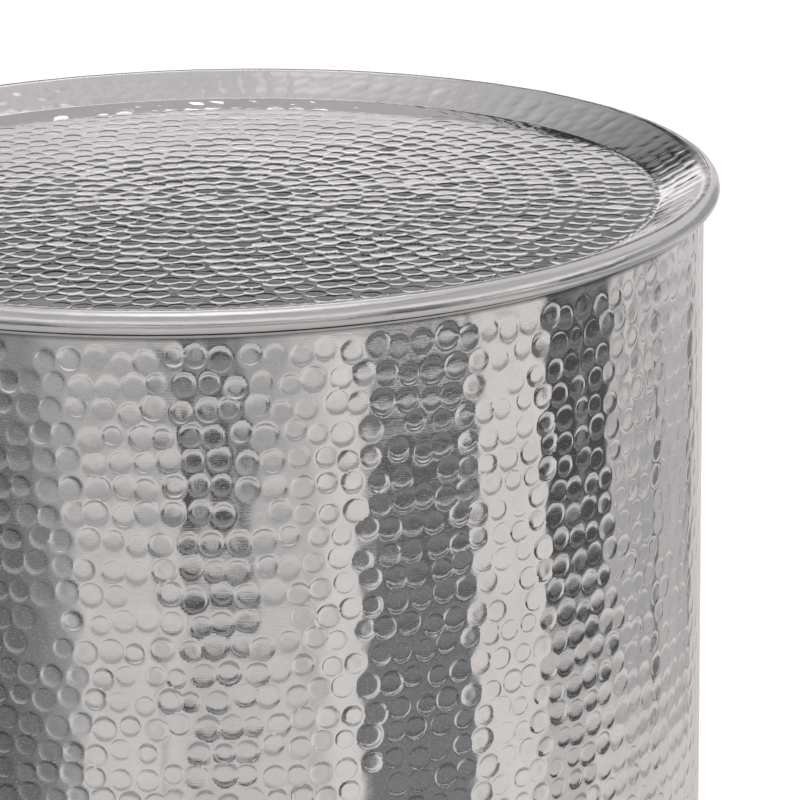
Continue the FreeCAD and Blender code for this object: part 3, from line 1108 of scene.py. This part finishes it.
def makeDrumMetal():
    on = Finish("hammered_aluminium_drum")
    z = on.z
    wall = drum["outerRadius"]
    top = drum["wallTo"]
    around = on.angle * wall
    scratches = (on.brushed(around, z, 0.012, 11 * mm, 0.36 * mm, 0.01 * mm)
                 + on.brushed(around, z, -0.11, 16 * mm, 0.7 * mm, 0.007 * mm))
    pits, patina, dull = on.worn(6.2 * mm, 0.3 * mm, 28.0)
    # fine dents of the planisher's tools, and the dull grain of the scratches
    rough = on.noise(420.0, 2.0, 0.55) * (0.004 * mm)
    grain = noiseAt(combine(on.tree, around * 0.5, z, 0.0), 1500.0, 2.0, 0.6)
    dusty = ramp(scratches / (0.01 * mm), 0.15, 0.6) * 0.5 + ramp(grain, 0.08, 0.45) * 0.8
    # the planisher's small nicks just under the rim
    nickPlace = combine(on.tree, around / (1.1 * mm), z / (4 * mm), 3.0)
    nicks = ramp(noiseAt(nickPlace, 1.0, 2.0, 0.6), 0.42, 0.75)
    nicks = nicks * ramp(z, top - 9 * mm, top - 3 * mm)
    # painted shadow: the drum wall is darkened just under the tray's rolled rim, where the rim's shadow
    # falls
    edge = ramp(z, top - 1.7 * mm, top + 0.2 * mm)
    # the scratch lines also lighten and darken the tone along them, a painted sheen of the light they
    # catch; their bump is real relief
    tone = metal["tone"] - patina * 0.06 - edge * 0.4 + scratches / (0.2 * mm) + grain * 0.03
    tone = pick(pits, metal["pitTone"], tone) - nicks * 0.25
    # the inside is left dull, as the mill rolled it
    inner = ramp(on.radius, wall - 0.3 * mm, wall - 0.9 * mm)
    metallic = 1.0 - most(least(dusty, 1.0) * metal["dust"], inner * 0.6)
    roughness = dull * 0.04 + pits * 0.3 + dusty * 0.05 + inner * 0.4 + metal["gloss"] * 0.7
    heights = scratches * metal["scratchRelief"] + rough - pits * metal["pitDepth"]
    heights = heights - nicks * (0.03 * mm)
    return on.close(on.grey(tone, metal["warmth"]), metallic, roughness, heights)


def makeTrayMetal():
    on = Finish("hammered_aluminium_tray")
    radius = on.radius
    z = on.z
    spun = on.brushed(on.angle * radius, radius - z * 1.3, 0.0, 20 * mm, 0.5 * mm, 0.0003 * mm)
    crossed = on.brushed(on.x, on.y, 0.6, 12 * mm, 0.6 * mm, 0.0003 * mm)
    pits, patina, dull = on.worn(6.5 * mm, 0.3 * mm, 22.0)
    # painted shade, near black, under the rolled rim where it sits on the drum, and along the groove
    # behind the rolled rim
    rimRadius, rimHeight = tray["rimCentre"]
    tilt = (z - rimHeight).math("ARCTAN2", radius - rimRadius) * degree
    broken = on.noise(330.0, 2.0, 0.6) + on.noise(70.0, 1.0, 0.5) * 0.7
    # painted shade: a broken dark line along the groove of the rolled rim
    line = ramp(size(tilt - tray["grooveAngle"]), broken * 1.6 + 2.7, broken * 1.6 + 1.2)
    # painted shade: the underside of the rolled rim, just above where it sits on the drum
    under = ramp(z, rimHeight - 3.85 * mm, rimHeight - 4.35 * mm) * (radius > drum["outerRadius"])
    paintedCreaseShade = most(under, line * (z > rimHeight) * ramp(broken, -0.7, 0.2) * 0.85)
    # the rolled rim is satin, not mirror bright
    rolled = ramp(radius, rimRadius - 3.9 * mm, rimRadius - 1.9 * mm)
    dents = on.noise(300.0, 2.0, 0.6) * (rolled * (0.026 * mm) + 0.0015 * mm)
    satin = rolled * (ramp(on.noise(55.0, 2.0, 0.6), -0.3, 0.4) * 0.16 + 0.07)
    # painted shade: the crease lines are near black in the tone, and a little rougher
    tone = pick(paintedCreaseShade, 0.05, pick(pits, metal["pitTone"], metal["tone"] - patina * 0.05))
    roughness = dull * 0.035 + pits * 0.3 + metal["gloss"] * 0.7 + paintedCreaseShade * 0.4 + satin
    heights = spun + crossed + dents - pits * metal["pitDepth"]
    return on.close(on.grey(tone, metal["warmth"]), 1.0, roughness, heights)


def makePlainSheet():
    # spun and rolled sheet that no hammer has touched
    on = Finish("plain_aluminium_sheet")
    spun = on.brushed(on.angle * on.radius, on.radius + on.z, 0.0, 30 * mm, 0.5 * mm, 0.012 * mm)
    pits, patina, dull = on.worn(9 * mm, 0.4 * mm, 18.0)
    tone = pick(pits, 0.35, 0.76 - patina * 0.12 - dull * 0.05)
    heights = spun + on.noise(260.0, 2.0, 0.6) * (0.008 * mm) - pits * metal["pitDepth"]
    return on.close(on.grey(tone, 0.008), 0.5, dull * 0.14 + pits * 0.25 + 0.36, heights)


def makeWireMetal():
    # drawn steel wire: lines along it, a grey skin, and a little rust where that is thin
    on = Finish("drawn_steel_wire")
    drawn = on.brushed(on.angle * on.radius, on.radius - on.z, 0.0, 40 * mm, 0.3 * mm, 0.015 * mm)
    pits, patina, dull = on.worn(5 * mm, 0.4 * mm, 40.0)
    rust = ramp(on.noise(70.0, 4.0, 0.65), 0.3, 0.6) * 0.7
    tone = 0.5 - patina * 0.14 - pits * 0.2
    colour = combine(on.tree, *[pick(rust, red, tone * tint) for red, tint in
                                ((0.26, 1.01), (0.13, 1.0), (0.07, 0.99))])
    heights = drawn + rust * (0.02 * mm) - pits * metal["pitDepth"]
    return on.close(colour, 1.0 - rust * 0.8, dull * 0.15 + rust * 0.35 + 0.3, heights)


def makeRubber():
    # moulded black rubber with a fine skin and some dust on it
    on = Finish("moulded_rubber")
    pits, _, dull = on.worn(3.5 * mm, 0.3 * mm, 60.0)
    skin = on.noise(1400.0, 2.0, 0.6)
    dust = ramp(on.noise(95.0, 4.0, 0.7), -0.1, 0.7)
    colour = on.grey(0.022 + dust * 0.045 + skin * 0.004, 0.05)
    heights = skin * (0.022 * mm) - pits * (0.06 * mm)
    return on.close(colour, 0.0, dust * 0.2 + dull * 0.08 + 0.62, heights)


def makeZincPlate():
    # bright zinc on turned steel, with scuffs from the spanner
    on = Finish("zinc_plated_steel")
    scuffs = on.brushed(on.x + on.y, on.z * 0.6 + on.x, 0.35, 4 * mm, 0.22 * mm, 0.014 * mm)
    pits, patina, dull = on.worn(3 * mm, 0.25 * mm, 150.0)
    tone = 0.62 - patina * 0.12 - pits * 0.25
    colour = combine(on.tree, tone, tone * 0.995, tone * (1.03 - patina * 0.08))
    roughness = dull * 0.16 + patina * 0.08 + 0.22
    return on.close(colour, 1.0, roughness, scuffs - pits * metal["pitDepth"])


def dress(material, *names):
    # parts whose shape is right already only get their finish
    for name in names:
        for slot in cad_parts[name].material_slots:
            slot.material = material
    print(material.name, "on", ", ".join(names))


def makeLamp():
    # one large soft lamp over the left shoulder; it gives the floor a shadow
    data = bpy.data.lights.new("soft_lamp", "AREA")
    data.energy = studio["lampPower"]
    data.size = studio["lampSize"]
    lamp = newPiece("soft_lamp", data)
    place = Vector(studio["lampPlace"])
    aim = Vector(studio["lampAim"]) - place
    lamp.matrix_world = Matrix.Translation(place) @ aim.to_track_quat("-Z", "Y").to_matrix().to_4x4()
    lamp.visible_glossy = False
    lamp.visible_camera = False


def makeWorld():
    world = bpy.data.worlds.new("studio")
    bpy.context.scene.world = world
    world.use_nodes = True
    tree = world.node_tree
    tree.nodes.clear()
    toward = out(tree.nodes.new("ShaderNodeTexCoord"), "Generated")
    x, y, z = parts(toward)
    height = z.math("ARCSINE") * degree
    # bearing: 0 towards the front, positive to the right, 180 at the back
    bearing = x.math("ARCTAN2", -y) * degree

    def band(value, low, high, soft):
        return ramp(value, low - soft, low + soft) * ramp(value, high + soft, high - soft)

    def steps(value, shade, changes):
        # the tone changes to each next one between two heights or bearings
        for start, stop, tone in changes:
            shade = pick(ramp(value, start, stop), tone, shade)
        return shade

    clouds = noiseAt(toward, 7.0, 3.0, 0.55)
    mottle = noiseAt(toward, 26.0, 2.0, 0.6)
    fine = noiseAt(toward, 85.0, 2.0, 0.6)
    lift = height + clouds * 0.5
    side = bearing + clouds * 1.2
    away = size(bearing)
    behind = ramp(away, 100.0, 125.0)
    backward = steps(lift, studio["roomTone"], studio["behind"])
    # the dark part of the room behind ends on the left of it
    left = ramp(bearing, 100.0, 125.0) * ramp(bearing, 170.0, 161.0) * ramp(lift, 68.0, 60.0)
    backward = pick(left, studio["toneLeftBehind"], backward)
    shade = pick(behind, backward, steps(lift, studio["roomTone"], studio["front"]))
    pale = band(height, 47, 56, 3.0) * band(bearing, 158, 170, 4.0)
    shade = pick(pale, studio["paleTone"], shade)
    # a small bright spot far behind, which only the crease of the lip catches
    spot = band(lift, 46.5, 51.5, 1.0) * ramp(away, 164.0, 170.0)
    shade = pick(spot, studio["spotTone"], shade)
    # what the far right of the lip mirrors is darker low down and lighter high up
    aside = ramp(bearing, -171.0, -167.0) * ramp(bearing, -100.0, -125.0) * ramp(lift, 17.0, 21.0)
    climb = 0.2 + (lift - 22.0) * 0.0115
    climb = pick(ramp(lift, 61.0, 67.0) * ramp(bearing, -160.0, -156.0), 0.74, climb)
    shade = pick(aside * ramp(lift, 80.0, 70.0), climb, shade)
    # the upright bands stand low down, on every side but the back
    low = ramp(lift, studio["bandTop"] + 0.5, studio["bandTop"] - 0.5)
    low = low * (1.0 - ramp(away, 158.0, 170.0))
    shade = pick(low, steps(side, studio["toneBetweenBands"], studio["bands"]), shade)
    # a dim strip over the bands
    shade = shade * (1.0 - band(lift, -14.4, -5.0, 1.0) * (1.0 - behind) * 0.4)
    for start, stop, fadeFrom, fadeTo, endFrom, endTo, tone in studio["patches"]:
        mask = band(side, start, stop, 1.5) * ramp(lift, fadeFrom, fadeTo) * ramp(lift, endTo, endFrom)
        shade = pick(mask, tone, shade)
    shade = shade * (1.0 - ramp(lift, *studio["bandFoot"]) * 0.45)
    shade = pick(ramp(lift, -37.0, -47.0) * 0.75, studio["roomTone"], shade)
    # the dark parts are the more uneven
    speckle = fine * (0.42 - ramp(shade, 0.15, 0.45) * 0.32) * ramp(lift, -12.0, -15.0)
    shade = shade * (1.0 + mottle * studio["mottled"] + clouds * studio["clouded"] + speckle)
    # the pale parts of the room are a little warm, the dark ones a little cool
    warm = ramp(shade, 0.2, 0.7)
    blue = shade * (1.035 - warm * (low * 0.04 + 0.024))
    light = put(tree, "ShaderNodeBackground", combine(tree, shade * (0.99 + warm * 0.054), shade, blue))
    # what stands behind the object is white, also through clear parts
    white = put(tree, "ShaderNodeBackground", (1, 1, 1, 1))
    path = tree.nodes.new("ShaderNodeLightPath")
    plain = most(out(path, "Is Camera Ray"), out(path, "Is Transmission Ray"))
    mix = put(tree, "ShaderNodeMixShader", plain, out(light), out(white))
    end = tree.nodes.new("ShaderNodeOutputWorld")
    feed(end.inputs["Surface"], out(mix))


def makeFloor():
    reach = studio["floorReach"]
    mesh = bpy.data.meshes.new("floor")
    mesh.from_pydata([(-reach, -reach, 0), (reach, -reach, 0), (reach, reach, 0), (-reach, reach, 0)],
                     [], [(0, 1, 2, 3)])
    floor = newPiece("floor", mesh)
    on = Finish("pale_floor")
    path = on.tree.nodes.new("ShaderNodeLightPath")
    seen = most(out(path, "Is Camera Ray"),
                most(out(path, "Is Glossy Ray"), out(path, "Is Transmission Ray")))
    for name, value in (("Base Color", (*[studio["floorTone"]] * 3, 1)), ("Roughness", 0.9),
                        ("Emission Color", (1, 1, 1, 1)),
                        ("Emission Strength", seen * studio["floorGlow"])):
        feed(on.shader.inputs[name], value)
    mesh.materials.append(on.material)
    floor.visible_glossy = False


makeCamera()
makeWorld()
makeLamp()
makeFloor()
print("studio done: camera, room, lamp and floor")
makeDrum(makeDrumMetal())
trayMetal = makeTrayMetal()
makeTrayFloor(trayMetal)
makeTrayRim(trayMetal)
dress(makePlainSheet(), "tray_locating_band", "base_pan", "seam_strip")
dress(makeWireMetal(), "tray_rim_rod", "mouth_wire", "base_wire")
dress(makeRubber(), "foot_pad_1", "foot_pad_2", "foot_pad_3", "foot_pad_4")
dress(makeZincPlate(), "foot_screws", "foot_washers", "foot_nuts")
bpy.context.scene.view_settings.view_transform = "Standard"
